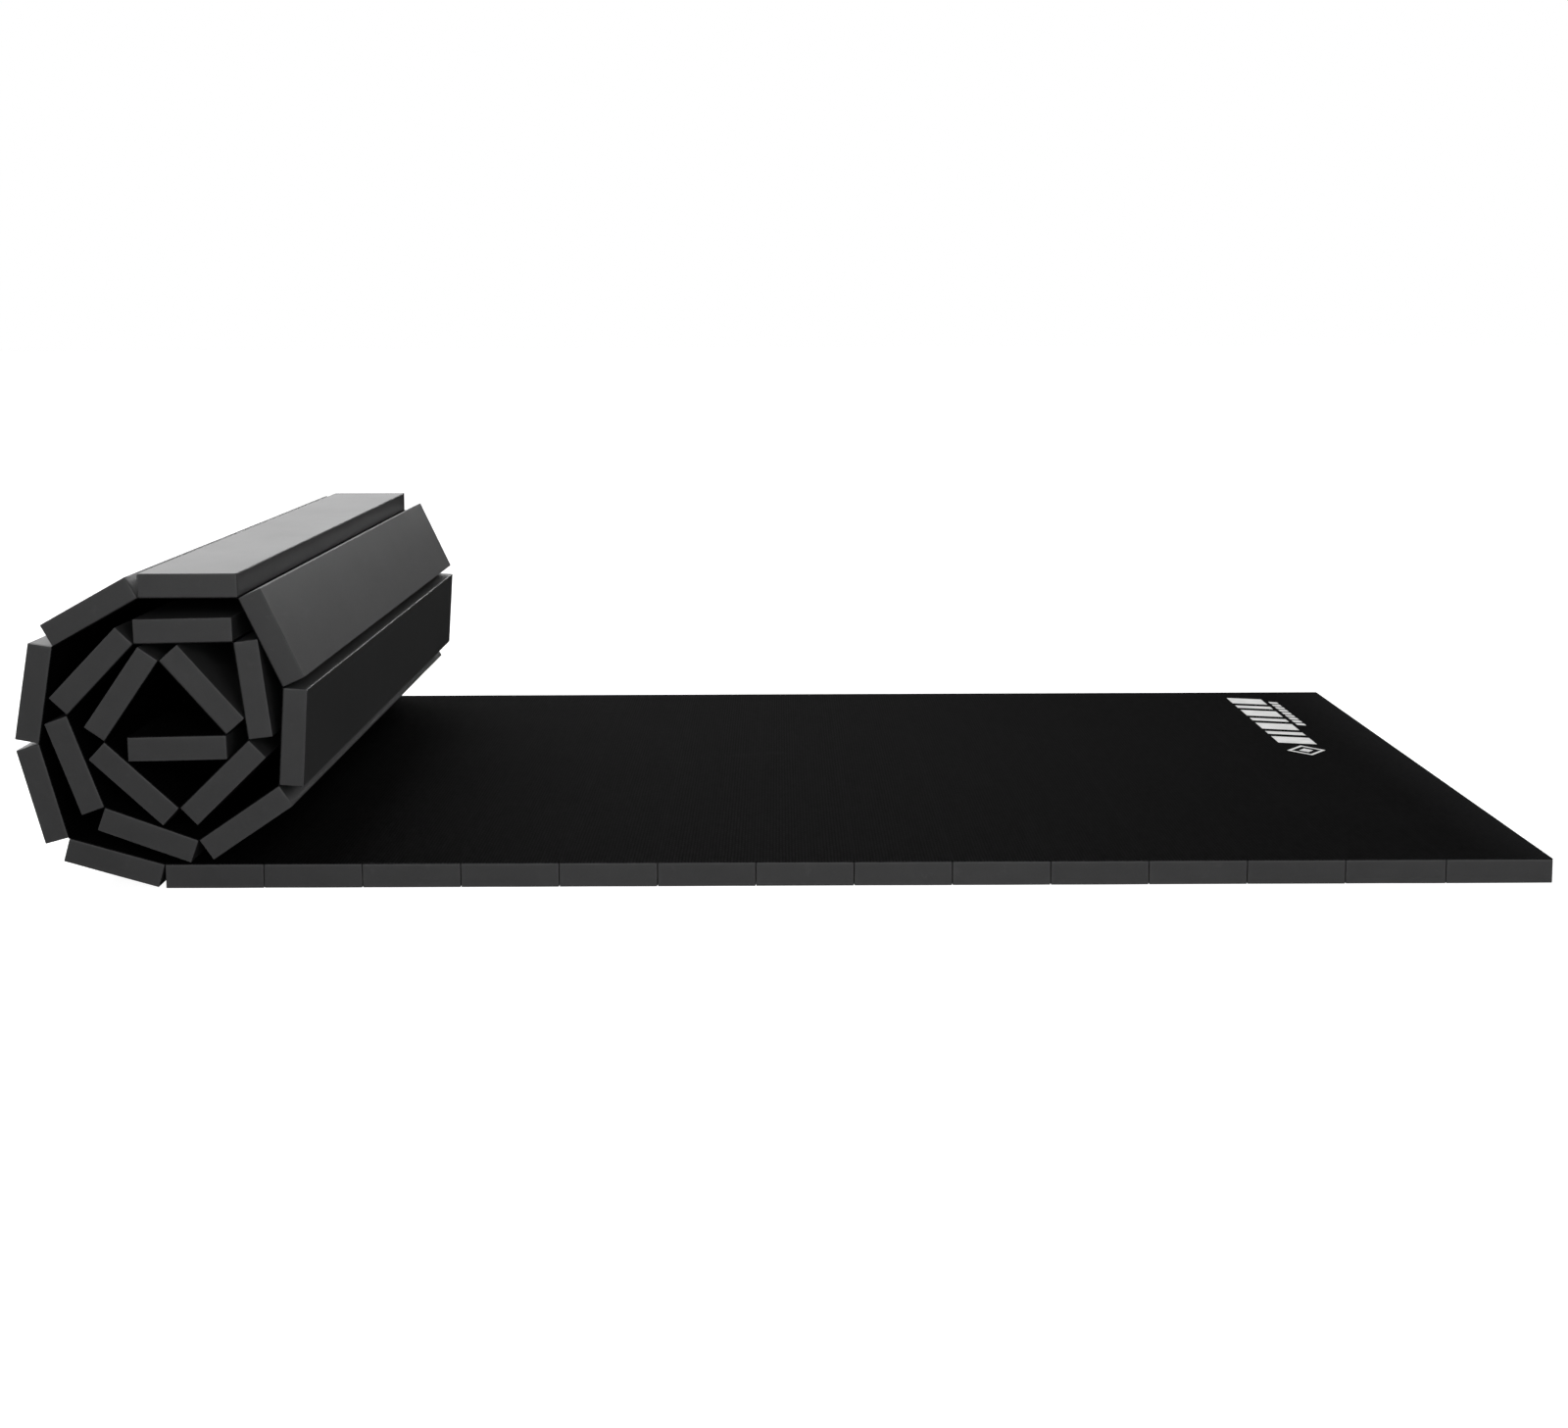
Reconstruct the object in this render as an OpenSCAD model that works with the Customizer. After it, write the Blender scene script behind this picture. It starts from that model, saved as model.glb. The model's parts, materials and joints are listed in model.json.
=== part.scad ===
// Roll-out training mat: slit foam planks under one continuous vinyl skin.
// The left part is rolled up, the rest lies flat on the floor.
// Frame: +X along the mat towards its loose flat end, +Y across the mat, +Z up.
// Origin: middle of the underside of the floor section.

/* [Mat] */
// Width of the mat, across the planks
mat_w = 1524; // [1200:2:1830]
// Total thickness, foam and vinyl together
mat_t = 31.75; // [20:0.25:32]
// Length of one plank along the mat, from slit to slit
plank_l = 127; // [126:0.5:152]

/* [Vinyl skin] */
// Thickness of the vinyl skin
skin_t = 1; // [0.6:0.1:1.5]
// Gap drawn between two strips of the skin at a fold line
skin_gap = 0.1; // [0.06:0.02:0.3]

/* [Foam planks] */
// Width of the knife slit between two planks
slit_w = 0.5; // [0.3:0.1:1]
// Small bevel along the two lower edges of each plank
edge_bevel = 1; // [0.4:0.1:2]
// Extra length of the plank before the last one
next_to_last_extra = 3; // [0:0.5:3]
// Extra length of the last plank, at the flat end
last_extra = 10.5; // [0:0.5:10.5]

/* [Pose] */
// How far the left part is rolled up, from 0 flat to 1 rolled
rolled = 1; // [0:0.05:1]
// How far the flat end is scrolled up, from 0 flat to 1 scrolled
scrolled = 0; // [0:0.05:1]

/* [Hidden] */

// Planks 1 to 18 are in the roll, 19 to 23 stay on the floor,
// 24 to 32 are the loose flat end.
roll_last = 18;
floor_first = 19;
floor_last = 23;
plank_n = 32;

floor_l = (floor_last - floor_first + 1) * plank_l;

// Turn in degrees at the fold line between plank n and plank n + 1, from the
// free end in the heart of the roll out to the floor.
roll_turn = [130, 104, 82, 87, 53, 84, 45, 64, 50, 54, 52, 29, 65, 29, 51, 25, 59, 16];
// Turn in degrees at the fold line between plank n - 1 and plank n, from the
// floor out to the loose end.
scroll_turn = [53, 58, 48, 81, 45, 88, 75, 101, 130];

// Length of plank n along the mat.
function len_of(n) = plank_l
    + (n == plank_n - 1 ? next_to_last_extra : 0)
    + (n == plank_n ? last_extra : 0);

// Tilt of plank n about +Y, measured from lying flat.
function roll_tilt(n) = n > roll_last ? 0 : roll_tilt(n + 1) + rolled * roll_turn[n - 1];
function scroll_tilt(n) = n <= floor_last ? 0 : scroll_tilt(n - 1) - scrolled * scroll_turn[n - floor_last - 1];

// Fold line at the outer end of plank n (towards the floor section), as [x, z].
function roll_at(n) = n >= roll_last
    ? [-floor_l / 2, mat_t]
    : roll_at(n + 1) + len_of(n + 1) * [-cos(roll_tilt(n + 1)), sin(roll_tilt(n + 1))];
function scroll_at(n) = n <= floor_last + 1
    ? [floor_l / 2, mat_t]
    : scroll_at(n - 1) + len_of(n - 1) * [cos(scroll_tilt(n - 1)), -sin(scroll_tilt(n - 1))];

// Puts a plank drawn from x = 0 to x = len_of(n), with the vinyl's face at z = 0,
// at its place in the mat.
module at_plank(n) {
    if (n <= roll_last)
        translate([roll_at(n)[0], 0, roll_at(n)[1]])
            rotate([0, roll_tilt(n), 0])
                translate([-len_of(n), 0, 0]) children();
    else if (n > floor_last)
        translate([scroll_at(n)[0], 0, scroll_at(n)[1]])
            rotate([0, scroll_tilt(n), 0]) children();
    else
        translate([(n - floor_first) * plank_l - floor_l / 2, 0, mat_t]) children();
}

// A bar across the mat with the given outline in X and Z.
module across(outline) {
    translate([0, mat_w / 2, 0]) rotate([90, 0, 0]) linear_extrude(height = mat_w) polygon(outline);
}

// One foam plank: it hangs under the skin, with small bevels along its lower edges.
module foam_plank(n) {
    a = n == 1 ? 0 : slit_w / 2;
    b = len_of(n) - (n == plank_n ? 0 : slit_w / 2);
    color([0.22, 0.22, 0.23])
        at_plank(n)
            across([
                [a, -skin_t], [a, edge_bevel - mat_t], [a + edge_bevel, -mat_t],
                [b - edge_bevel, -mat_t], [b, edge_bevel - mat_t], [b, -skin_t]
            ]);
}

// The skin over one plank, bonded to its foam.
module vinyl_strip(n) {
    a = n == 1 ? 0 : skin_gap / 2;
    b = len_of(n) - (n == plank_n ? 0 : skin_gap / 2);
    color([0.07, 0.07, 0.075])
        at_plank(n)
            across([[a, -skin_t], [b, -skin_t], [b, 0], [a, 0]]);
}

// The skin over the whole floor section, in one piece.
module vinyl_floor_section() {
    color([0.07, 0.07, 0.075])
        at_plank(floor_first)
            across([
                [skin_gap / 2, -skin_t], [floor_l - skin_gap / 2, -skin_t],
                [floor_l - skin_gap / 2, 0], [skin_gap / 2, 0]
            ]);
}

foam_plank(1);  // foam_plank_01
foam_plank(2);  // foam_plank_02
foam_plank(3);  // foam_plank_03
foam_plank(4);  // foam_plank_04
foam_plank(5);  // foam_plank_05
foam_plank(6);  // foam_plank_06
foam_plank(7);  // foam_plank_07
foam_plank(8);  // foam_plank_08
foam_plank(9);  // foam_plank_09
foam_plank(10);  // foam_plank_10
foam_plank(11);  // foam_plank_11
foam_plank(12);  // foam_plank_12
foam_plank(13);  // foam_plank_13
foam_plank(14);  // foam_plank_14
foam_plank(15);  // foam_plank_15
foam_plank(16);  // foam_plank_16
foam_plank(17);  // foam_plank_17
foam_plank(18);  // foam_plank_18
foam_plank(19);  // foam_plank_19
foam_plank(20);  // foam_plank_20
foam_plank(21);  // foam_plank_21
foam_plank(22);  // foam_plank_22
foam_plank(23);  // foam_plank_23
foam_plank(24);  // foam_plank_24
foam_plank(25);  // foam_plank_25
foam_plank(26);  // foam_plank_26
foam_plank(27);  // foam_plank_27
foam_plank(28);  // foam_plank_28
foam_plank(29);  // foam_plank_29
foam_plank(30);  // foam_plank_30
foam_plank(31);  // foam_plank_31
foam_plank(32);  // foam_plank_32
vinyl_strip(1);  // vinyl_strip_01
vinyl_strip(2);  // vinyl_strip_02
vinyl_strip(3);  // vinyl_strip_03
vinyl_strip(4);  // vinyl_strip_04
vinyl_strip(5);  // vinyl_strip_05
vinyl_strip(6);  // vinyl_strip_06
vinyl_strip(7);  // vinyl_strip_07
vinyl_strip(8);  // vinyl_strip_08
vinyl_strip(9);  // vinyl_strip_09
vinyl_strip(10);  // vinyl_strip_10
vinyl_strip(11);  // vinyl_strip_11
vinyl_strip(12);  // vinyl_strip_12
vinyl_strip(13);  // vinyl_strip_13
vinyl_strip(14);  // vinyl_strip_14
vinyl_strip(15);  // vinyl_strip_15
vinyl_strip(16);  // vinyl_strip_16
vinyl_strip(17);  // vinyl_strip_17
vinyl_strip(18);  // vinyl_strip_18
vinyl_floor_section();
vinyl_strip(24);  // vinyl_strip_24
vinyl_strip(25);  // vinyl_strip_25
vinyl_strip(26);  // vinyl_strip_26
vinyl_strip(27);  // vinyl_strip_27
vinyl_strip(28);  // vinyl_strip_28
vinyl_strip(29);  // vinyl_strip_29
vinyl_strip(30);  // vinyl_strip_30
vinyl_strip(31);  // vinyl_strip_31
vinyl_strip(32);  // vinyl_strip_32
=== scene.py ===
import json
import math

import bpy
import numpy as np
from mathutils import Matrix, Vector


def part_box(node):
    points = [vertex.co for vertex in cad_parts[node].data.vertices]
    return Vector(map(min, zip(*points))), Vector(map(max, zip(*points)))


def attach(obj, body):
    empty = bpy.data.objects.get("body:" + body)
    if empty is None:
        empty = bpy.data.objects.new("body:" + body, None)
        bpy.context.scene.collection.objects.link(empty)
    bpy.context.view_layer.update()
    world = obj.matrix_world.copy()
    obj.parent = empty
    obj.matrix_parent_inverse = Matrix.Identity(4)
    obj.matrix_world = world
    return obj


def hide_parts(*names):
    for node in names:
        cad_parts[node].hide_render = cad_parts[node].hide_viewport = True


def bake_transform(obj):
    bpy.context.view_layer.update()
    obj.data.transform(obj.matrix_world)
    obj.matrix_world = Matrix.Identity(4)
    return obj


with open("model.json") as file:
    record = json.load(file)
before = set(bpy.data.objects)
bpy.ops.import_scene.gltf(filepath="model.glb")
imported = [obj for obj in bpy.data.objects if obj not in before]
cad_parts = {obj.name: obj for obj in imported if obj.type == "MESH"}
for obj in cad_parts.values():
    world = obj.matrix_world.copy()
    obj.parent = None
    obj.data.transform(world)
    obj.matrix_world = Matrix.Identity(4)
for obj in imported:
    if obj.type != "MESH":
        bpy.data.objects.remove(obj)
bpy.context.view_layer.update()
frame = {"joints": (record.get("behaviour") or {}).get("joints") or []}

# ---------------------------------------------------------------- layout
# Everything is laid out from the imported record: the fold lines are the joints.
MM = 0.001
PLANKS = 32
ROLL_LAST, FLOOR_FIRST, FLOOR_LAST = 18, 19, 23

fold_at, fold_turn = {}, {}
for j in frame["joints"]:
    n = int(j["name"].split("_")[1])
    fold_at[n] = np.array([j["pos_m"][0], j["pos_m"][2]], float)
    fold_turn[n] = math.radians(j["range_deg"][1]) if n <= ROLL_LAST else 0.0
for n in range(FLOOR_FIRST, FLOOR_LAST):
    share = (n - ROLL_LAST) / (FLOOR_LAST - ROLL_LAST)
    fold_at[n] = fold_at[ROLL_LAST] * (1 - share) + fold_at[FLOOR_LAST] * share
    fold_turn[n] = 0.0

skin_lo, skin_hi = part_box("vinyl_floor_section")
HALF_W = skin_hi.y
TOP_Z = float(fold_at[ROLL_LAST][1])
MAT_T = TOP_Z
SKIN_T = skin_hi.z - skin_lo.z
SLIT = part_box("foam_plank_21")[0].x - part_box("foam_plank_20")[1].x
PITCH = float(np.linalg.norm(fold_at[3] - fold_at[2]))

inner, outer, along, up, length, flat_at = {}, {}, {}, {}, {}, {}
for n in range(1, PLANKS + 1):
    if n == 1:
        tilt = sum(fold_turn[k] for k in range(1, ROLL_LAST + 1))
        d = np.array([math.cos(tilt), -math.sin(tilt)])
        outer[n] = fold_at[1]
        inner[n] = outer[n] - PITCH * d
    elif n == PLANKS:
        inner[n] = fold_at[n - 1]
        outer[n] = np.array([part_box("foam_plank_32")[1].x, inner[n][1]])
    else:
        inner[n], outer[n] = fold_at[n - 1], fold_at[n]
    length[n] = float(np.linalg.norm(outer[n] - inner[n]))
    along[n] = (outer[n] - inner[n]) / length[n]
    up[n] = np.array([-along[n][1], along[n][0]])      # out of the vinyl face
    flat_at[n] = 0.0 if n == 1 else flat_at[n - 1] + length[n - 1]


def body_of_plank(n):
    return "floor_section" if FLOOR_FIRST <= n <= FLOOR_LAST else f"plank_{n:02d}"


def placed(n, u, y, w):
    """Points (u along plank n, y across, w out of its vinyl face) in the row frame."""
    u, y, w = np.broadcast_arrays(np.asarray(u, float), np.asarray(y, float), np.asarray(w, float))
    p = inner[n][None] + u.reshape(-1, 1) * along[n] + w.reshape(-1, 1) * up[n]
    return np.stack([p[:, 0], y.ravel(), p[:, 1]], 1)


def object_from(name, co, quads, tris=()):
    mesh = bpy.data.meshes.new(name)
    faces = [tuple(map(int, f)) for f in quads] + [tuple(map(int, f)) for f in tris]
    mesh.from_pydata(co.tolist(), [], faces)
    mesh.validate()
    mesh.update()
    o = bpy.data.objects.new(name, mesh)
    bpy.context.scene.collection.objects.link(o)
    return o


def store(o, name, kind, domain, values):
    a = o.data.attributes.new(name, kind, domain)
    a.data.foreach_set("vector" if kind == "FLOAT_VECTOR" else "value", np.asarray(values, np.float32).ravel())


def smooth(o, degrees):
    o.data.polygons.foreach_set("use_smooth", [True] * len(o.data.polygons))
    o.data.set_sharp_from_angle(angle=math.radians(degrees))


def soft_noise(rng, a, b, wave, terms=7):
    """A smooth, repeatable wander over two coordinates in metres, about -1 to 1."""
    out = np.zeros(np.broadcast(a, b).shape)
    for _ in range(terms):
        k = 2 * math.pi / (wave * rng.uniform(0.55, 1.8))
        t, ph = rng.uniform(0, 2 * math.pi, 2)
        out = out + np.sin(k * (a * math.cos(t) + b * math.sin(t)) + ph)
    return out / math.sqrt(terms) / 1.4


# ---------------------------------------------------------------- materials
def maths(nt, op, a, b=None, c=None, clamp=False):
    n = nt.nodes.new("ShaderNodeMath")
    n.operation = op
    n.use_clamp = clamp
    for i, v in enumerate((a, b, c)):
        if v is None:
            continue
        if isinstance(v, (int, float)):
            n.inputs[i].default_value = v
        else:
            nt.links.new(v, n.inputs[i])
    return n.outputs[0]


def attribute(nt, name):
    n = nt.nodes.new("ShaderNodeAttribute")
    n.attribute_name = name
    return n


def mix_colour(nt, factor, a, b, mode="MIX"):
    n = nt.nodes.new("ShaderNodeMix")
    n.data_type = "RGBA"
    n.blend_type = mode
    n.clamp_factor = True
    for socket, v in ((n.inputs[0], factor), (n.inputs[6], a), (n.inputs[7], b)):
        if isinstance(v, (int, float)):
            socket.default_value = v
        elif isinstance(v, tuple):
            socket.default_value = (*v, 1)
        else:
            nt.links.new(v, socket)
    return n.outputs[2]


def scaled(nt, vector, sx, sy, sz):
    n = nt.nodes.new("ShaderNodeVectorMath")
    n.operation = "MULTIPLY"
    nt.links.new(vector, n.inputs[0])
    n.inputs[1].default_value = (sx, sy, sz)
    return n.outputs[0]


def noise(nt, vector, scale, detail=3.0, rough=0.55, distortion=0.0):
    n = nt.nodes.new("ShaderNodeTexNoise")
    n.inputs["Scale"].default_value = scale
    n.inputs["Detail"].default_value = detail
    n.inputs["Roughness"].default_value = rough
    n.inputs["Distortion"].default_value = distortion
    nt.links.new(vector, n.inputs["Vector"])
    return n.outputs["Fac"]


def new_material(name):
    m = bpy.data.materials.new(name)
    m.use_nodes = True
    nt = m.node_tree
    bsdf = nt.nodes["Principled BSDF"]
    return m, nt, bsdf


def foam_material():
    """Charcoal closed-cell foam: a smooth skin on the outer face, fine open cells and knife lines on cut faces."""
    m, nt, b = new_material("charcoal_foam")
    pos = attribute(nt, "plank_pos").outputs["Vector"]
    cut = attribute(nt, "cut_face").outputs["Fac"]
    wear = attribute(nt, "edge_wear").outputs["Fac"]
    tone = attribute(nt, "plank_tone").outputs["Fac"]

    broad = noise(nt, scaled(nt, pos, 1, 0.45, 1), 9.0, 4.0)
    mottle = noise(nt, pos, 70.0, 3.0, 0.6)
    grain = noise(nt, pos, 900.0, 2.0, 0.6)
    cells = nt.nodes.new("ShaderNodeTexVoronoi")
    cells.feature = "F1"
    cells.inputs["Scale"].default_value = 820.0
    cells.inputs["Randomness"].default_value = 0.9
    nt.links.new(pos, cells.inputs["Vector"])
    knife = noise(nt, scaled(nt, pos, 60, 7, 700), 1.0, 3.0, 0.6)
    scuff = noise(nt, scaled(nt, pos, 26, 5, 26), 1.6, 5.0, 0.7, 0.4)

    # colour: a base charcoal that wanders a little, with painted shade in the open cells of cut faces, lighter at
    # rubbed edges and in dry scuffs
    value = maths(nt, "ADD", maths(nt, "MULTIPLY", maths(nt, "SUBTRACT", broad, 0.5), 0.26),
                  maths(nt, "MULTIPLY", maths(nt, "SUBTRACT", mottle, 0.5), 0.16))
    value = maths(nt, "ADD", value, maths(nt, "MULTIPLY", maths(nt, "SUBTRACT", grain, 0.5), 0.30))
    value = maths(nt, "ADD", value, tone)
    value = maths(nt, "ADD", value, 0.5, clamp=True)
    ramp = nt.nodes.new("ShaderNodeValToRGB")
    ramp.color_ramp.elements[0].position = 0.25
    ramp.color_ramp.elements[0].color = (*FOAM_DARK, 1)
    ramp.color_ramp.elements[1].position = 0.75
    ramp.color_ramp.elements[1].color = (*FOAM_LIGHT, 1)
    nt.links.new(value, ramp.inputs["Fac"])
    # painted shade: the open cells of the cut faces are darkened in colour as if shade lay in their pits
    cell_painted_shade = maths(nt, "MULTIPLY", cut, maths(nt, "LESS_THAN", cells.outputs["Distance"], 0.22))
    colour = mix_colour(nt, maths(nt, "MULTIPLY", cell_painted_shade, 0.35), ramp.outputs["Color"], FOAM_CELL_SHADE)
    rub = maths(nt, "MULTIPLY", maths(nt, "POWER", wear, 1.6), maths(nt, "MULTIPLY_ADD", scuff, 1.5, -0.25, clamp=True))
    colour = mix_colour(nt, maths(nt, "MULTIPLY", rub, 0.42), colour, FOAM_RUBBED)
    dry = maths(nt, "MULTIPLY", maths(nt, "SUBTRACT", scuff, 0.60, clamp=True), 0.9)
    colour = mix_colour(nt, dry, colour, FOAM_RUBBED)
    nt.links.new(colour, b.inputs["Base Color"])

    rough = maths(nt, "MULTIPLY_ADD", maths(nt, "SUBTRACT", broad, 0.5), 0.09, FOAM_ROUGH)
    rough = maths(nt, "ADD", rough, maths(nt, "MULTIPLY", cut, FOAM_CUT_ROUGHER))
    rough = maths(nt, "ADD", rough, maths(nt, "MULTIPLY", rub, 0.10), clamp=True)
    nt.links.new(rough, b.inputs["Roughness"])
    b.inputs["Specular IOR Level"].default_value = FOAM_SPEC

    height = maths(nt, "MULTIPLY", grain, 0.35)
    height = maths(nt, "ADD", height, maths(nt, "MULTIPLY", mottle, 0.8))
    pits = maths(nt, "MULTIPLY", cut, maths(nt, "MINIMUM", cells.outputs["Distance"], 0.35))
    height = maths(nt, "ADD", height, maths(nt, "MULTIPLY", pits, 1.6))
    height = maths(nt, "ADD", height, maths(nt, "MULTIPLY", maths(nt, "MULTIPLY", cut, knife), 0.45))
    bump = nt.nodes.new("ShaderNodeBump")
    bump.inputs["Strength"].default_value = 0.32
    bump.inputs["Distance"].default_value = 0.00035
    nt.links.new(height, bump.inputs["Height"])
    nt.links.new(bump.outputs["Normal"], b.inputs["Normal"])
    return m


def straw_weave(nt, pos):
    """The emboss: ribs across the mat, each broken into grains of slightly different length and height.
    Gives the rib profile, the whole weave from 0 to 1, and a number from 0 to 1 for each grain."""
    xyz = nt.nodes.new("ShaderNodeSeparateXYZ")
    nt.links.new(pos, xyz.inputs[0])
    wander = noise(nt, pos, 14.0, 2.0)
    s = maths(nt, "MULTIPLY_ADD", maths(nt, "SUBTRACT", wander, 0.5), 0.0012, xyz.outputs[0])
    rib_at = maths(nt, "DIVIDE", s, RIB_PITCH)
    rib_no = maths(nt, "FLOOR", rib_at)
    in_rib = maths(nt, "SUBTRACT", maths(nt, "FRACT", rib_at), 0.5)
    rib = maths(nt, "SUBTRACT", 1.0, maths(nt, "POWER", maths(nt, "ABSOLUTE", maths(nt, "MULTIPLY", in_rib, 2.0)), 2.6))
    loose = nt.nodes.new("ShaderNodeTexWhiteNoise")
    loose.noise_dimensions = "1D"
    nt.links.new(rib_no, loose.inputs["W"])
    stagger = maths(nt, "MULTIPLY_ADD", maths(nt, "MODULO", rib_no, 2.0), 0.5, maths(nt, "MULTIPLY", loose.outputs["Value"], 0.30))
    sway = maths(nt, "MULTIPLY", maths(nt, "SUBTRACT", noise(nt, pos, 45.0, 1.0), 0.5), 0.30)
    grain_at = maths(nt, "ADD", maths(nt, "ADD", maths(nt, "DIVIDE", xyz.outputs[1], GRAIN_PITCH), stagger), sway)
    in_grain = maths(nt, "SUBTRACT", maths(nt, "FRACT", grain_at), 0.5)
    grain = maths(nt, "SUBTRACT", 1.0, maths(nt, "POWER", maths(nt, "ABSOLUTE", maths(nt, "MULTIPLY", in_grain, 2.0)), 4.0))
    cell = nt.nodes.new("ShaderNodeCombineXYZ")
    nt.links.new(rib_no, cell.inputs[0])
    nt.links.new(maths(nt, "FLOOR", grain_at), cell.inputs[1])
    each = nt.nodes.new("ShaderNodeTexWhiteNoise")
    each.noise_dimensions = "3D"
    nt.links.new(cell.outputs[0], each.inputs["Vector"])
    weave = maths(nt, "MULTIPLY", rib, maths(nt, "MULTIPLY_ADD", grain, 0.75, 0.25))
    return rib, weave, each.outputs["Value"]


def vinyl_material():
    """Black vinyl with a straw-weave emboss: ribs that run across the mat, broken into staggered grains, with painted
    shade in the emboss's valleys and painted highlight on its tops.
    """
    m, nt, b = new_material("black_tatami_vinyl")
    pos = attribute(nt, "flat_pos").outputs["Vector"]
    wear = attribute(nt, "edge_wear").outputs["Fac"]
    crease = attribute(nt, "fold_crease").outputs["Fac"]
    back = attribute(nt, "back_face").outputs["Fac"]
    rib, weave, each = straw_weave(nt, pos)
    fine = noise(nt, scaled(nt, pos, 900, 220, 900), 1.0, 2.0, 0.6)
    pebble = noise(nt, pos, 1500.0, 1.0)
    broad = noise(nt, pos, 5.0, 4.0)
    scuff = noise(nt, scaled(nt, pos, 3.2, 14, 3.2), 1.3, 6.0, 0.72, 0.8)
    face = maths(nt, "SUBTRACT", 1.0, back)

    value = maths(nt, "MULTIPLY_ADD", maths(nt, "SUBTRACT", broad, 0.5), 0.45, 0.5)
    # painted shade and highlight: the colour follows the emboss's relief, darker in the valleys between ribs and grains
    # and lighter on their tops
    value = maths(nt, "ADD", value, maths(nt, "MULTIPLY", maths(nt, "SUBTRACT", weave, 0.55), 0.70))
    value = maths(nt, "ADD", value, maths(nt, "MULTIPLY", maths(nt, "SUBTRACT", each, 0.5), 0.30))
    value = maths(nt, "ADD", value, maths(nt, "MULTIPLY", maths(nt, "SUBTRACT", fine, 0.5), 0.35), clamp=True)
    ramp = nt.nodes.new("ShaderNodeValToRGB")
    ramp.color_ramp.elements[0].position = 0.2
    ramp.color_ramp.elements[0].color = (*VINYL_DARK, 1)
    ramp.color_ramp.elements[1].position = 0.8
    ramp.color_ramp.elements[1].color = (*VINYL_LIGHT, 1)
    nt.links.new(value, ramp.inputs["Fac"])
    marks = maths(nt, "MULTIPLY", maths(nt, "SUBTRACT", scuff, 0.62, clamp=True), 1.4)
    rubbed = maths(nt, "MULTIPLY", maths(nt, "MAXIMUM", maths(nt, "POWER", wear, 1.5), maths(nt, "MULTIPLY", crease, 0.12)), maths(nt, "MULTIPLY_ADD", fine, 1.2, -0.1, clamp=True))
    colour = mix_colour(nt, maths(nt, "ADD", marks, maths(nt, "MULTIPLY", rubbed, 0.5), clamp=True), ramp.outputs["Color"], VINYL_RUBBED)
    colour = mix_colour(nt, back, colour, VINYL_BACK)
    nt.links.new(colour, b.inputs["Base Color"])

    rough = maths(nt, "MULTIPLY_ADD", maths(nt, "SUBTRACT", broad, 0.5), 0.14, VINYL_ROUGH)
    rough = maths(nt, "ADD", rough, maths(nt, "MULTIPLY", marks, 0.25))
    rough = maths(nt, "SUBTRACT", rough, maths(nt, "MULTIPLY", maths(nt, "MULTIPLY", face, rib), 0.05), clamp=True)
    nt.links.new(rough, b.inputs["Roughness"])
    b.inputs["Specular IOR Level"].default_value = VINYL_SPEC

    # a soft waxy sheen on the tops of the ribs, which dies away at a low angle
    slant = nt.nodes.new("ShaderNodeLayerWeight")
    slant.inputs["Blend"].default_value = 0.5
    open_view = maths(nt, "MULTIPLY", maths(nt, "SUBTRACT", 0.78, slant.outputs["Facing"], clamp=True), 2.4, clamp=True)
    sheen = maths(nt, "MULTIPLY", maths(nt, "MULTIPLY_ADD", weave, 0.50, 0.05), maths(nt, "MULTIPLY_ADD", broad, 0.4, 0.25))
    sheen = maths(nt, "MULTIPLY", sheen, face)
    nt.links.new(maths(nt, "MULTIPLY", sheen, open_view, clamp=True), b.inputs["Coat Weight"])
    b.inputs["Coat Roughness"].default_value = 0.42

    height = maths(nt, "MULTIPLY", maths(nt, "MULTIPLY", weave, face), maths(nt, "MULTIPLY_ADD", each, 0.3, 0.85))
    height = maths(nt, "ADD", height, maths(nt, "MULTIPLY", fine, 0.12))
    height = maths(nt, "ADD", height, maths(nt, "MULTIPLY", pebble, 0.10))
    bump = nt.nodes.new("ShaderNodeBump")
    bump.inputs["Strength"].default_value = 0.5
    bump.inputs["Distance"].default_value = 0.00045
    nt.links.new(height, bump.inputs["Height"])
    nt.links.new(bump.outputs["Normal"], b.inputs["Normal"])
    nt.links.new(bump.outputs["Normal"], b.inputs["Coat Normal"])
    return m


def ink_material():
    """White screen-printed ink that takes the vinyl's emboss and has rubbed thin in small spots."""
    m, nt, b = new_material("white_print_ink")
    pos = attribute(nt, "flat_pos").outputs["Vector"]
    rib, weave, each = straw_weave(nt, pos)
    speck = noise(nt, pos, 420.0, 4.0, 0.7)
    soft = noise(nt, pos, 40.0, 3.0)
    worn = maths(nt, "MULTIPLY", maths(nt, "SUBTRACT", speck, 0.66, clamp=True), 3.0, clamp=True)
    worn = maths(nt, "ADD", worn, maths(nt, "MULTIPLY", maths(nt, "SUBTRACT", 0.45, weave, clamp=True), 0.55), clamp=True)
    ramp = nt.nodes.new("ShaderNodeValToRGB")
    ramp.color_ramp.elements[0].position = 0.3
    ramp.color_ramp.elements[0].color = (*INK_DULL, 1)
    ramp.color_ramp.elements[1].position = 0.7
    ramp.color_ramp.elements[1].color = (*INK_BRIGHT, 1)
    nt.links.new(soft, ramp.inputs["Fac"])
    colour = mix_colour(nt, worn, ramp.outputs["Color"], VINYL_RUBBED)
    nt.links.new(colour, b.inputs["Base Color"])
    nt.links.new(maths(nt, "MULTIPLY_ADD", soft, 0.15, 0.5), b.inputs["Roughness"])
    b.inputs["Specular IOR Level"].default_value = 0.25
    bump = nt.nodes.new("ShaderNodeBump")
    bump.inputs["Strength"].default_value = 0.45
    bump.inputs["Distance"].default_value = 0.0004
    nt.links.new(maths(nt, "MULTIPLY_ADD", weave, 0.9, maths(nt, "MULTIPLY", speck, 0.4)), bump.inputs["Height"])
    nt.links.new(bump.outputs["Normal"], b.inputs["Normal"])
    return m


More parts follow.
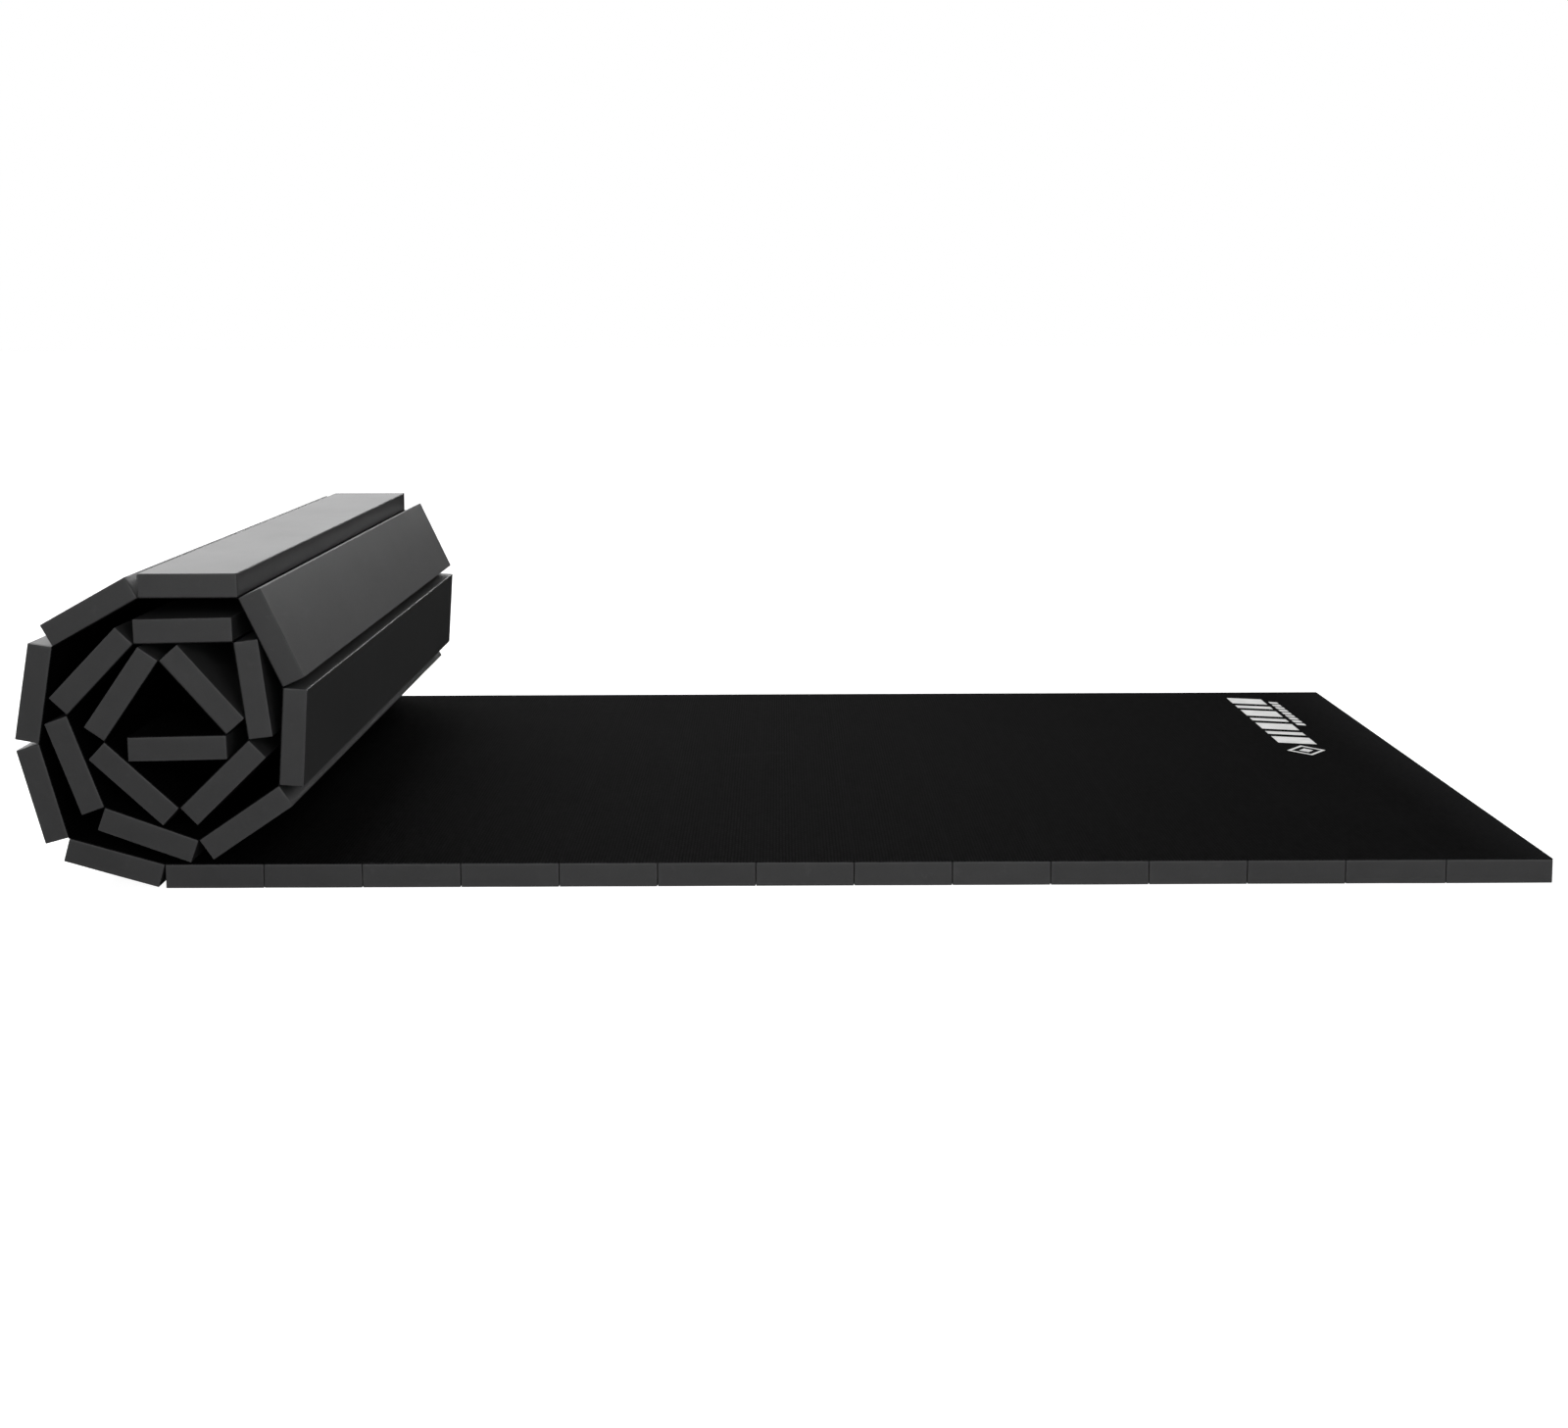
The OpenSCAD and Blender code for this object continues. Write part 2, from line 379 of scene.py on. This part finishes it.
FOAM_DARK, FOAM_LIGHT = (0.036, 0.036, 0.037), (0.058, 0.058, 0.059)
# the first colour on the next line is painted shade for the open cells of cut faces; the second is rubbed foam
FOAM_CELL_SHADE, FOAM_RUBBED = (0.018, 0.018, 0.019), (0.13, 0.13, 0.13)
FOAM_ROUGH, FOAM_CUT_ROUGHER, FOAM_SPEC = 0.43, 0.03, 0.42
# the vinyl's dark-to-light ramp spans both its random tone and the painted shade and highlight of the emboss
VINYL_DARK, VINYL_LIGHT = (0.0003, 0.0003, 0.0003), (0.0037, 0.0037, 0.0038)
VINYL_RUBBED, VINYL_BACK = (0.020, 0.020, 0.021), (0.004, 0.004, 0.004)
VINYL_ROUGH, VINYL_SPEC = 0.92, 0.010
INK_DULL, INK_BRIGHT = (0.52, 0.52, 0.515), (0.63, 0.63, 0.625)
RIB_PITCH, GRAIN_PITCH = 0.0042, 0.0135

foam_mat = foam_material()
vinyl_mat = vinyl_material()
ink_mat = ink_material()


# ---------------------------------------------------------------- foam planks
def stations(lo, hi, near, count):
    """Positions from lo to hi, close together at both ends and even between."""
    near = np.array(near) * MM
    mid = np.linspace(lo + near[-1], hi - near[-1], count)
    return np.unique(np.round(np.concatenate([lo + near, mid, hi - near]), 8))


EDGE_R = 0.8 * MM      # rounding of the two outer corners
TOP_R = 1.3 * MM       # rounding of the two corners under the skin
CAP_R = 0.6 * MM       # rounding round each cut end


KERF = 0.2 * MM        # the cut foam shrinks back this far on each side of a slit


def foam_plank(n):
    rng = np.random.default_rng(700 + n)
    a = 0.0 if n == 1 else SLIT / 2 + KERF
    b = length[n] - (0.0 if n == PLANKS else SLIT / 2 + KERF)
    lo = np.array([a, -HALF_W, -MAT_T])
    hi = np.array([b, HALF_W, -SKIN_T])
    us = stations(a, b, (0, 0.16, 0.45, 0.8, 1.25, 3.2, 8), 10)
    ys = stations(-HALF_W, HALF_W, (0, 0.18, 0.6, 1.8, 2.6, 3.5, 9), 58)
    ws = stations(-MAT_T, -SKIN_T, (0, 0.16, 0.45, 0.8, 1.25, 3.2), 6)
    nu, ny, nw = len(us), len(ys), len(ws)
    skin = np.ones((nu, ny, nw), bool)
    skin[1:-1, 1:-1, 1:-1] = False
    number = np.full((nu, ny, nw), -1)
    number[skin] = np.arange(skin.sum())
    i, j, k = np.nonzero(skin)
    p = np.stack([us[i], ys[j], ws[k]], 1)

    # rounded box: each point slides onto the rounding of the nearest corner or edge
    low_half = p[:, 2] < (lo[2] + hi[2]) / 2
    r_uw = np.where(low_half, EDGE_R, TOP_R)
    r = np.stack([r_uw, np.full(len(p), CAP_R), r_uw], 1)
    core = np.clip(p, lo + r, hi - r)
    q = (p - core) / r
    size = np.linalg.norm(q, axis=1, keepdims=True)
    rounded = core + r * q / np.maximum(size, 1e-9)
    gaps = np.sort(np.concatenate([p - lo, hi - p], 1), axis=1)
    edge = gaps[:, 1]                       # distance to the nearest edge
    p = rounded

    # the cut foam swells back inside a slit until the faces all but touch
    inside = np.clip((np.minimum(p[:, 1] + HALF_W, HALF_W - p[:, 1]) - 1.8 * MM) / (1.6 * MM), 0, 1)
    inside *= np.clip((hi[2] - 1.2 * MM - p[:, 2]) / (4 * MM), 0, 1) * np.clip((p[:, 2] - lo[2] - 0.4 * MM) / (0.9 * MM), 0, 1)
    swell = (SLIT / 2 + KERF - 0.06 * MM) * inside * inside * (3 - 2 * inside)

    # a knife-cut block is never quite flat
    depth = (hi[2] - p[:, 2]) / (hi[2] - lo[2])
    p[:, 2] += 0.11 * MM * depth**2 * soft_noise(rng, p[:, 0], p[:, 1], 0.16)
    left, right = p[:, 0] < a + 0.4 * MM, p[:, 0] > b - 0.4 * MM
    p[:, 0] += 0.05 * MM * (left * soft_noise(rng, p[:, 2] * 3, p[:, 1], 0.09) + right * soft_noise(rng, p[:, 2] * 3, p[:, 1], 0.09)) * depth * (1 - inside)
    if n > 1:
        p[left, 0] -= swell[left]
    if n < PLANKS:
        p[right, 0] += swell[right]
    front, rear = p[:, 1] < -HALF_W + 0.1 * MM, p[:, 1] > HALF_W - 0.1 * MM
    p[:, 1] += 0.12 * MM * (front * soft_noise(rng, p[:, 0], p[:, 2], 0.05) + rear * soft_noise(rng, p[:, 0], p[:, 2], 0.05))

    quads, cut = [], []

    def face_grid(g, flip, is_cut):
        c = np.stack([g[:-1, :-1], g[1:, :-1], g[1:, 1:], g[:-1, 1:]], -1).reshape(-1, 4)
        quads.append(c[:, ::-1] if flip else c)
        cut.append(np.full(len(c), is_cut))

    face_grid(number[:, :, 0], True, 0.0)
    face_grid(number[:, :, -1], False, 0.0)
    face_grid(number[:, 0, :], False, 1.0)
    face_grid(number[:, -1, :], True, 1.0)
    face_grid(number[0, :, :], True, 1.0 if n > 1 else 0.8)
    face_grid(number[-1, :, :], False, 1.0)
    quads, cut = np.concatenate(quads), np.concatenate(cut)

    o = object_from(f"foam_{n:02d}_knife_cut", placed(n, p[:, 0], p[:, 1], p[:, 2]), quads)
    store(o, "plank_pos", "FLOAT_VECTOR", "POINT", np.stack([p[:, 0] + 0.37 * n, p[:, 1], p[:, 2]], 1))
    store(o, "edge_wear", "FLOAT", "POINT", np.exp(-edge / (2.2 * MM)))
    store(o, "cut_face", "FLOAT", "FACE", cut)
    store(o, "plank_tone", "FLOAT", "POINT", np.full(len(p), rng.uniform(-0.05, 0.05)))
    smooth(o, 38)
    o.data.materials.append(foam_mat)
    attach(o, body_of_plank(n))
    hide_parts(f"foam_plank_{n:02d}")
    return o


foam = {n: foam_plank(n) for n in range(1, PLANKS + 1)}

# ---------------------------------------------------------------- vinyl skin
SINK = 0.03 * MM          # the skin's back beds this far into the foam, so no light shows between
DIMPLE = 0.06 * MM        # the slit below shows through as a faint dent
SKIN_YS = stations(-HALF_W, HALF_W, (0, 0.3, 2.5, 8), 62)


def skin_noise(s, y):
    """Very slight unevenness of the stretched skin, the same on both sides of a seam."""
    rng = np.random.default_rng(41)
    return 0.035 * MM * soft_noise(rng, s, y, 0.11, 9)


def skin_piece(name, top, bottom, pairs):
    """A strip of skin from its section. top and bottom are lists of (point, down, flat place, crease) from one
    end to the other, and pairs lists the (top, bottom) numbers that the end faces join."""
    ys = SKIN_YS
    section = top + bottom
    nt_, m, ny = len(top), len(section), len(ys)
    co = np.zeros((m, ny, 3))
    flat = np.zeros((m, ny, 3))
    for i, (pt, lift, s, _) in enumerate(section):
        w = (skin_noise(np.full(ny, s), ys) if i < nt_ else 0.0) * np.ones(ny)
        co[i, :, 0] = pt[0] + lift[0] * w
        co[i, :, 1] = ys
        co[i, :, 2] = pt[1] + lift[1] * w
        flat[i, :, 0] = s
        flat[i, :, 1] = ys
        flat[i, :, 2] = 0 if i < nt_ else -SKIN_T
    # the two long cut edges of the skin are eased a little
    for j, inset in ((0, 0.18 * MM), (ny - 1, 0.18 * MM)):
        for i, (pt, lift, s, _) in enumerate(section[:nt_]):
            co[i, j, 0] -= lift[0] * inset
            co[i, j, 2] -= lift[1] * inset
    ring = list(range(nt_)) + list(range(m - 1, nt_ - 1, -1))
    idx = np.arange(m * ny).reshape(m, ny)
    quads, back = [], []
    for a, b in zip(ring, ring[1:] + ring[:1]):
        c = np.stack([idx[a, :-1], idx[b, :-1], idx[b, 1:], idx[a, 1:]], 1)
        quads.append(c)
        back.append(np.full(len(c), 0.0 if (a < nt_ and b < nt_) else 1.0))
    tris = []
    ends = []
    for (ta, ba), (tb, bb) in zip(pairs, pairs[1:]):
        ba, bb = ba + nt_, bb + nt_
        for j, flip in ((0, False), (ny - 1, True)):
            if ta == tb:
                f = [idx[ta, j], idx[bb, j], idx[ba, j]]
                f = f[::-1] if not flip else f
                tris.append(f[::-1])
            else:
                f = [idx[ta, j], idx[tb, j], idx[bb, j], idx[ba, j]]
                ends.append(f if flip else f[::-1])
    quads = np.concatenate(quads + ([np.array(ends)] if ends else []))
    back = np.concatenate(back + ([np.zeros(len(ends))] if ends else []) + [np.zeros(len(tris))])
    o = object_from(name, co.reshape(-1, 3), quads, tris)
    bm_fix_normals(o)
    edge = np.minimum(ys + HALF_W, HALF_W - ys)[None, :] * np.ones((m, 1))
    free = np.full((m, 1), 1.0)
    for i, (_, _, s, _) in enumerate(section):
        free[i, 0] = min(s, FLAT_L - s)
    edge = np.minimum(edge, free)
    store(o, "flat_pos", "FLOAT_VECTOR", "POINT", flat.reshape(-1, 3))
    store(o, "edge_wear", "FLOAT", "POINT", np.exp(-edge / (2.0 * MM)))
    crease = np.array([c for *_, c in section])[:, None] * np.ones((1, ny))
    store(o, "fold_crease", "FLOAT", "POINT", crease)
    store(o, "back_face", "FLOAT", "FACE", back[: len(o.data.polygons)])
    smooth(o, 32)
    o.data.materials.append(vinyl_mat)
    return o


def bm_fix_normals(o):
    import bmesh
    bm = bmesh.new()
    bm.from_mesh(o.data)
    bmesh.ops.recalc_face_normals(bm, faces=bm.faces)
    bm.to_mesh(o.data)
    bm.free()
    o.data.update()


FLAT_L = flat_at[PLANKS] + length[PLANKS]
BACK = -(SKIN_T + SINK)
AWAY = (0.5, 1.3, 3, 8, 20, 38)       # mm from a fold line where the skin has points


def at(n, u, w):
    return inner[n] + u * along[n] + w * up[n]


def straight(n, u0, u1, toward_fold, steps):
    """u positions on plank n from u0 to u1, closer together near the fold lines they reach."""
    lo, hi = min(u0, u1), max(u0, u1)
    us = [lo, hi]
    us += [f + s * d * MM for d in steps for f in toward_fold for s in (-1, 1)]
    return sorted({round(u, 7) for u in us if lo <= u <= hi})


def bend_at_fold(o):
    """Bakes a piece's placement into its mesh; the piece is not bent here."""
    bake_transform(o)


def fold_piece(n, free_low=False, free_high=False):
    """The skin across fold n/(n+1), from the middle of plank n to the middle of plank n+1."""
    theta = fold_turn[n]
    u_lo = 0.0 if free_low else length[n] / 2
    u_hi = length[n + 1] if free_high else length[n + 1] / 2
    steps = [d for d in AWAY]
    low = straight(n, u_lo, length[n], (length[n],), steps)
    low = [u for u in low if u < length[n] - 0.1 * MM]
    high = straight(n + 1, 0.0, u_hi, (0.0,), steps)
    high = [u for u in high if u > 0.1 * MM]
    creased = lambda d: math.exp(-(d / (2.5 * MM)) ** 2)
    top = [(at(n, u, 0), up[n], flat_at[n] + u, creased(length[n] - u)) for u in low]
    mid_up = up[n] + up[n + 1]
    mid_up = mid_up / np.linalg.norm(mid_up)
    top.append((fold_at[n] - DIMPLE * mid_up, mid_up * 0, flat_at[n + 1], 1.0))
    top += [(at(n + 1, u, 0), up[n + 1], flat_at[n + 1] + u, creased(u)) for u in high]
    bottom = [(at(n, u, BACK), up[n], flat_at[n] + u, 0.0) for u in low]
    fans = max(2, int(math.ceil(math.degrees(theta) / 16)) + 1)
    # the back of the skin turns round the fold line in an even fan
    a0 = math.atan2(-up[n][1], -up[n][0])
    a1 = math.atan2(-up[n + 1][1], -up[n + 1][0])
    turn = (a1 - a0 + math.pi) % (2 * math.pi) - math.pi
    if theta < 1e-6:
        side = 0.12 * MM
        fan_pts = [fold_at[n] + BACK * up[n] - side * along[n], fold_at[n] + BACK * up[n] + side * along[n]]
    else:
        fan_pts = [fold_at[n] + (-BACK) * np.array([math.cos(a0 + turn * k / (fans - 1)), math.sin(a0 + turn * k / (fans - 1))]) for k in range(fans)]
    for k, pt in enumerate(fan_pts):
        share = k / (len(fan_pts) - 1) - 0.5
        bottom.append((pt, up[n], flat_at[n + 1] + share * 0.2 * MM, 0.0))
    bottom += [(at(n + 1, u, BACK), up[n + 1], flat_at[n + 1] + u, 0.0) for u in high]
    nl, nf = len(low), len(fan_pts)
    pairs = [(i, i) for i in range(nl)]
    pairs += [(nl, nl + k) for k in range(nf)]
    pairs += [(nl + 1 + i, nl + nf + i) for i in range(len(high))]
    o = skin_piece(f"skin_fold_{n:02d}_{n + 1:02d}", top, bottom, pairs)
    bend_at_fold(o)
    node_name = f"vinyl_strip_{n:02d}" if n <= ROLL_LAST else f"vinyl_strip_{n + 1:02d}"
    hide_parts(node_name)
    return o


def floor_piece():
    """The skin from the middle of plank 19 to the middle of plank 23, which never bends."""
    top, bottom, pairs = [], [], []
    for n in range(FLOOR_FIRST, FLOOR_LAST + 1):
        u0 = length[n] / 2 if n == FLOOR_FIRST else 0.0
        u1 = length[n] / 2 if n == FLOOR_LAST else length[n]
        folds = [f for f, ok in ((0.0, n > FLOOR_FIRST), (length[n], n < FLOOR_LAST)) if ok]
        us = straight(n, u0, u1, folds, AWAY)
        for u in us:
            d = min([abs(u - f) for f in folds], default=1.0)
            if d < 1e-7 and u > 0:
                continue                     # the next plank's first point is the same line
            dent = DIMPLE if d < 1e-7 else 0.0
            top.append((at(n, u, -dent), up[n] * (0 if dent else 1), flat_at[n] + u, math.exp(-(d / (2.5 * MM)) ** 2)))
            bottom.append((at(n, u, BACK), up[n], flat_at[n] + u, 0.0))
    pairs = [(i, i) for i in range(len(top))]
    o = skin_piece("skin_floor_section", top, bottom, pairs)
    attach(o, "floor_section")
    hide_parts("vinyl_floor_section")
    return o


skin = {n: fold_piece(n, free_low=(n == 1)) for n in range(1, ROLL_LAST + 1)}
skin["floor"] = floor_piece()
for n in range(FLOOR_LAST, PLANKS):
    skin[n] = fold_piece(n, free_high=(n == PLANKS - 1))

# ---------------------------------------------------------------- printed mark
# Plain slanted bars, a row of small ticks and a diamond ring: a generic print near the far corner.
INK_T = 0.10 * MM


def ink(name, n, strips, bends=False):
    """Flat shapes on plank n. Each strip is a list of (u, y from, y to)."""
    co, quads, flat = [], [], []
    for strip in strips:
        base, count = len(co), len(strip)
        for under in (False, True):
            for u, y0, y1 in strip:
                dent = DIMPLE if abs(u - length[n]) < 1e-6 else 0.0
                for y in (y0, y1):
                    s = flat_at[n] + u
                    lift = float(skin_noise(np.array([s]), np.array([y]))[0])
                    co.append((u, y, -0.12 * MM if under else lift + INK_T - dent))
                    flat.append((s, y, 0))
        down = 2 * count
        for i in range(count - 1):
            p = base + 2 * i
            quads.append((p, p + 1, p + 3, p + 2))
            quads.append((p + down, p + down + 2, p + down + 3, p + down + 1))
            quads.append((p, p + 2, p + down + 2, p + down))
            quads.append((p + 1, p + down + 1, p + down + 3, p + 3))
        for p in (base, base + 2 * (count - 1)):
            quads.append((p, p + down, p + down + 1, p + 1))
    pts = np.array(co)
    o = object_from(name, placed(n, pts[:, 0], pts[:, 1], pts[:, 2]), quads)
    bm_fix_normals(o)
    store(o, "flat_pos", "FLOAT_VECTOR", "POINT", flat)
    o.data.materials.append(ink_mat)
    if bends:
        bend_at_fold(o)
    else:
        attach(o, body_of_plank(n))
    return o


def cuts(n, u0, u1, more=()):
    """Stations from u0 to u1 on plank n, with some close to its far fold where they cross it."""
    us = list(np.linspace(u0, u1, 9)) + list(more)
    us += [length[n] + d * MM for d in (-3, -1.3, -0.5, 0, 0.5, 1.3, 3)]
    us = sorted(u for u in us if u0 - 1e-9 <= u <= u1 + 1e-9)
    kept = [us[0]]
    for u in us[1:]:
        if u - kept[-1] > 0.2 * MM:
            kept.append(u)
    return kept


def bar(n, u0, u1, y0, y1, slant):
    """A slanted bar from u0 to u1, between y0 and y1."""
    return [(u, y0 + slant * (u - u0) / (u1 - u0), y1 + slant * (u - u0) / (u1 - u0)) for u in cuts(n, u0, u1)]


def tent(u, middle, half, tall):
    return tall * max(0.0, 1 - abs(u - middle) / half)


bars = []
at_y = 0.180
for wide, gap in ((66, 26), (30, 26), (66, 26), (30, 26), (66, 26), (30, 26), (66, 0)):
    bars.append(bar(31, 0.0890, 0.1480, at_y, at_y + wide * MM, -0.020))
    at_y += (wide + gap) * MM
cu, cy, ru, ry = 0.119, 0.101, 0.031, 0.048
iu, iy = ru - 0.0070, ry - 0.0108
ring_us = cuts(31, cu - ru + 0.2 * MM, cu + ru - 0.2 * MM, (cu - iu, cu, cu + iu))
ring = [[(u, cy + side * tent(u, cu, iu, iy), cy + side * tent(u, cu, ru, ry)) for u in ring_us] for side in (1, -1)]
core = [(u, cy - tent(u, cu, 0.0115, 0.0178), cy + tent(u, cu, 0.0115, 0.0178)) for u in cuts(31, cu - 0.0112, cu + 0.0112, (cu,))]
mark = ink("print_bars_and_diamond", 31, bars + ring + [core], bends=True)
ticks = ink("print_row_of_ticks", 32, [bar(32, 0.0260, 0.0400, y, y + 0.0205, -0.006) for y in np.arange(0.366, 0.640, 0.0315)])

# ---------------------------------------------------------------- studio
def camera():
    data = bpy.data.cameras.new("photo_view")
    data.sensor_fit = "HORIZONTAL"
    data.sensor_width = 36.0
    data.lens = 60.771
    data.clip_start, data.clip_end = 0.05, 400
    cam = bpy.data.objects.new("photo_view", data)
    bpy.context.scene.collection.objects.link(cam)
    pitch, yaw, roll = (math.radians(a) for a in (8.590, 0.0897, -0.2076))
    fwd = Vector((math.sin(yaw) * math.cos(pitch), math.cos(yaw) * math.cos(pitch), -math.sin(pitch)))
    right = Vector((math.cos(yaw), -math.sin(yaw), 0))
    above = right.cross(fwd)
    r2 = math.cos(roll) * right + math.sin(roll) * above
    u2 = -math.sin(roll) * right + math.cos(roll) * above
    rows = [[r2[i], u2[i], -fwd[i]] for i in range(3)]
    cam.matrix_world = Matrix(rows).to_4x4()
    cam.location = (0.4764, -4.1113, 0.7305)
    bpy.context.scene.camera = cam


camera()


def area(name, at_point, look, size, size_y, power, shape="RECTANGLE"):
    data = bpy.data.lights.new(name, "AREA")
    data.shape = shape
    data.size, data.size_y = size, size_y
    data.energy = power
    o = bpy.data.objects.new(name, data)
    o.location = at_point
    o.rotation_mode = "QUATERNION"
    o.rotation_quaternion = (Vector(look) - Vector(at_point)).to_track_quat("-Z", "Y")
    bpy.context.scene.collection.objects.link(o)
    o.visible_camera = False
    return o


def emitter(name, strength):
    m = bpy.data.materials.new(name)
    m.use_nodes = True
    nt = m.node_tree
    nt.nodes.clear()
    out = nt.nodes.new("ShaderNodeOutputMaterial")
    em = nt.nodes.new("ShaderNodeEmission")
    em.inputs["Color"].default_value = (1, 1, 1, 1)
    em.inputs["Strength"].default_value = strength
    nt.links.new(em.outputs[0], out.inputs["Surface"])
    return m


def floor_material():
    """Pale matt floor with a little glow of its own, so that its contact shadow stays faint."""
    m, nt, b = new_material("pale_floor")
    b.inputs["Base Color"].default_value = (0.30, 0.30, 0.30, 1)
    b.inputs["Roughness"].default_value = 0.9
    b.inputs["Specular IOR Level"].default_value = 0.0
    b.inputs["Emission Color"].default_value = (1, 1, 1, 1)
    b.inputs["Emission Strength"].default_value = FLOOR_GLOW
    return m


FLOOR_GLOW = 0.95
floor_mesh = bpy.data.meshes.new("studio_floor")
floor_mesh.from_pydata([(-60, -60, 0), (60, -60, 0), (60, 60, 0), (-60, 60, 0)], [], [(0, 1, 2, 3)])
floor = bpy.data.objects.new("studio_floor", floor_mesh)
bpy.context.scene.collection.objects.link(floor)
floor.location.z = -0.0004
floor_mesh.materials.append(floor_material())
floor.visible_diffuse = False
floor.visible_glossy = False

backdrop_mesh = bpy.data.meshes.new("studio_backdrop")
rings, segs, far = 24, 48, 55.0
pts = [(far * math.cos(math.pi * (i / rings - 0.5)) * math.cos(2 * math.pi * k / segs),
        far * math.cos(math.pi * (i / rings - 0.5)) * math.sin(2 * math.pi * k / segs),
        far * math.sin(math.pi * (i / rings - 0.5))) for i in range(rings + 1) for k in range(segs)]
faces = [(i * segs + k, i * segs + (k + 1) % segs, (i + 1) * segs + (k + 1) % segs, (i + 1) * segs + k)
         for i in range(rings) for k in range(segs)]
backdrop_mesh.from_pydata(pts, [], faces)
backdrop = bpy.data.objects.new("studio_backdrop", backdrop_mesh)
bpy.context.scene.collection.objects.link(backdrop)
backdrop_mesh.materials.append(emitter("white_backdrop", 1.0))
for flag in ("visible_diffuse", "visible_glossy", "visible_transmission", "visible_volume_scatter", "visible_shadow"):
    setattr(backdrop, flag, False)

world = bpy.data.worlds.new("studio")
bpy.context.scene.world = world
world.use_nodes = True
wn = world.node_tree
wn.nodes.clear()
w_out = wn.nodes.new("ShaderNodeOutputWorld")
w_bg = wn.nodes.new("ShaderNodeBackground")
w_bg.inputs["Color"].default_value = (1, 1, 1, 1)
w_bg.inputs["Strength"].default_value = 0.20
wn.links.new(w_bg.outputs[0], w_out.inputs["Surface"])
w_from = wn.nodes.new("ShaderNodeTexCoord")
w_xyz = wn.nodes.new("ShaderNodeSeparateXYZ")
w_ramp = wn.nodes.new("ShaderNodeValToRGB")
w_ramp.color_ramp.elements[0].position = 0.47
w_ramp.color_ramp.elements[0].color = (0.04, 0.04, 0.04, 1)
w_ramp.color_ramp.elements[1].position = 0.56
w_ramp.color_ramp.elements[1].color = (1, 1, 1, 1)
wn.links.new(w_from.outputs["Generated"], w_xyz.inputs[0])
wn.links.new(maths(wn, "MULTIPLY_ADD", w_xyz.outputs[2], 0.5, 0.5), w_ramp.inputs["Fac"])
wn.links.new(w_ramp.outputs["Color"], w_bg.inputs["Color"])

area("overhead_softbox", (-1.9, 0.3, 3.1), (0.0, 0.0, 0.2), 2.5, 3.6, 260)
area("rear_softbox", (-2.5, 5.0, 1.7), (-0.3, 0.0, 0.3), 5.2, 3.2, 92)
area("front_fill", (1.0, -5.5, 1.3), (0.4, 0.0, 0.2), 5.0, 2.2, 130)
area("right_fill", (6.0, 0.6, 4.4), (0.2, 0.0, 0.2), 4.5, 2.0, 70)
area("rear_right", (0.8, 6.0, 1.7), (0.0, 0.0, 0.2), 1.0, 0.5, 21)

bpy.context.scene.view_settings.view_transform = "Standard"
bpy.context.scene.view_settings.look = "None"
bpy.context.scene.view_settings.exposure = 0.0
bpy.context.scene.view_settings.gamma = 1.0
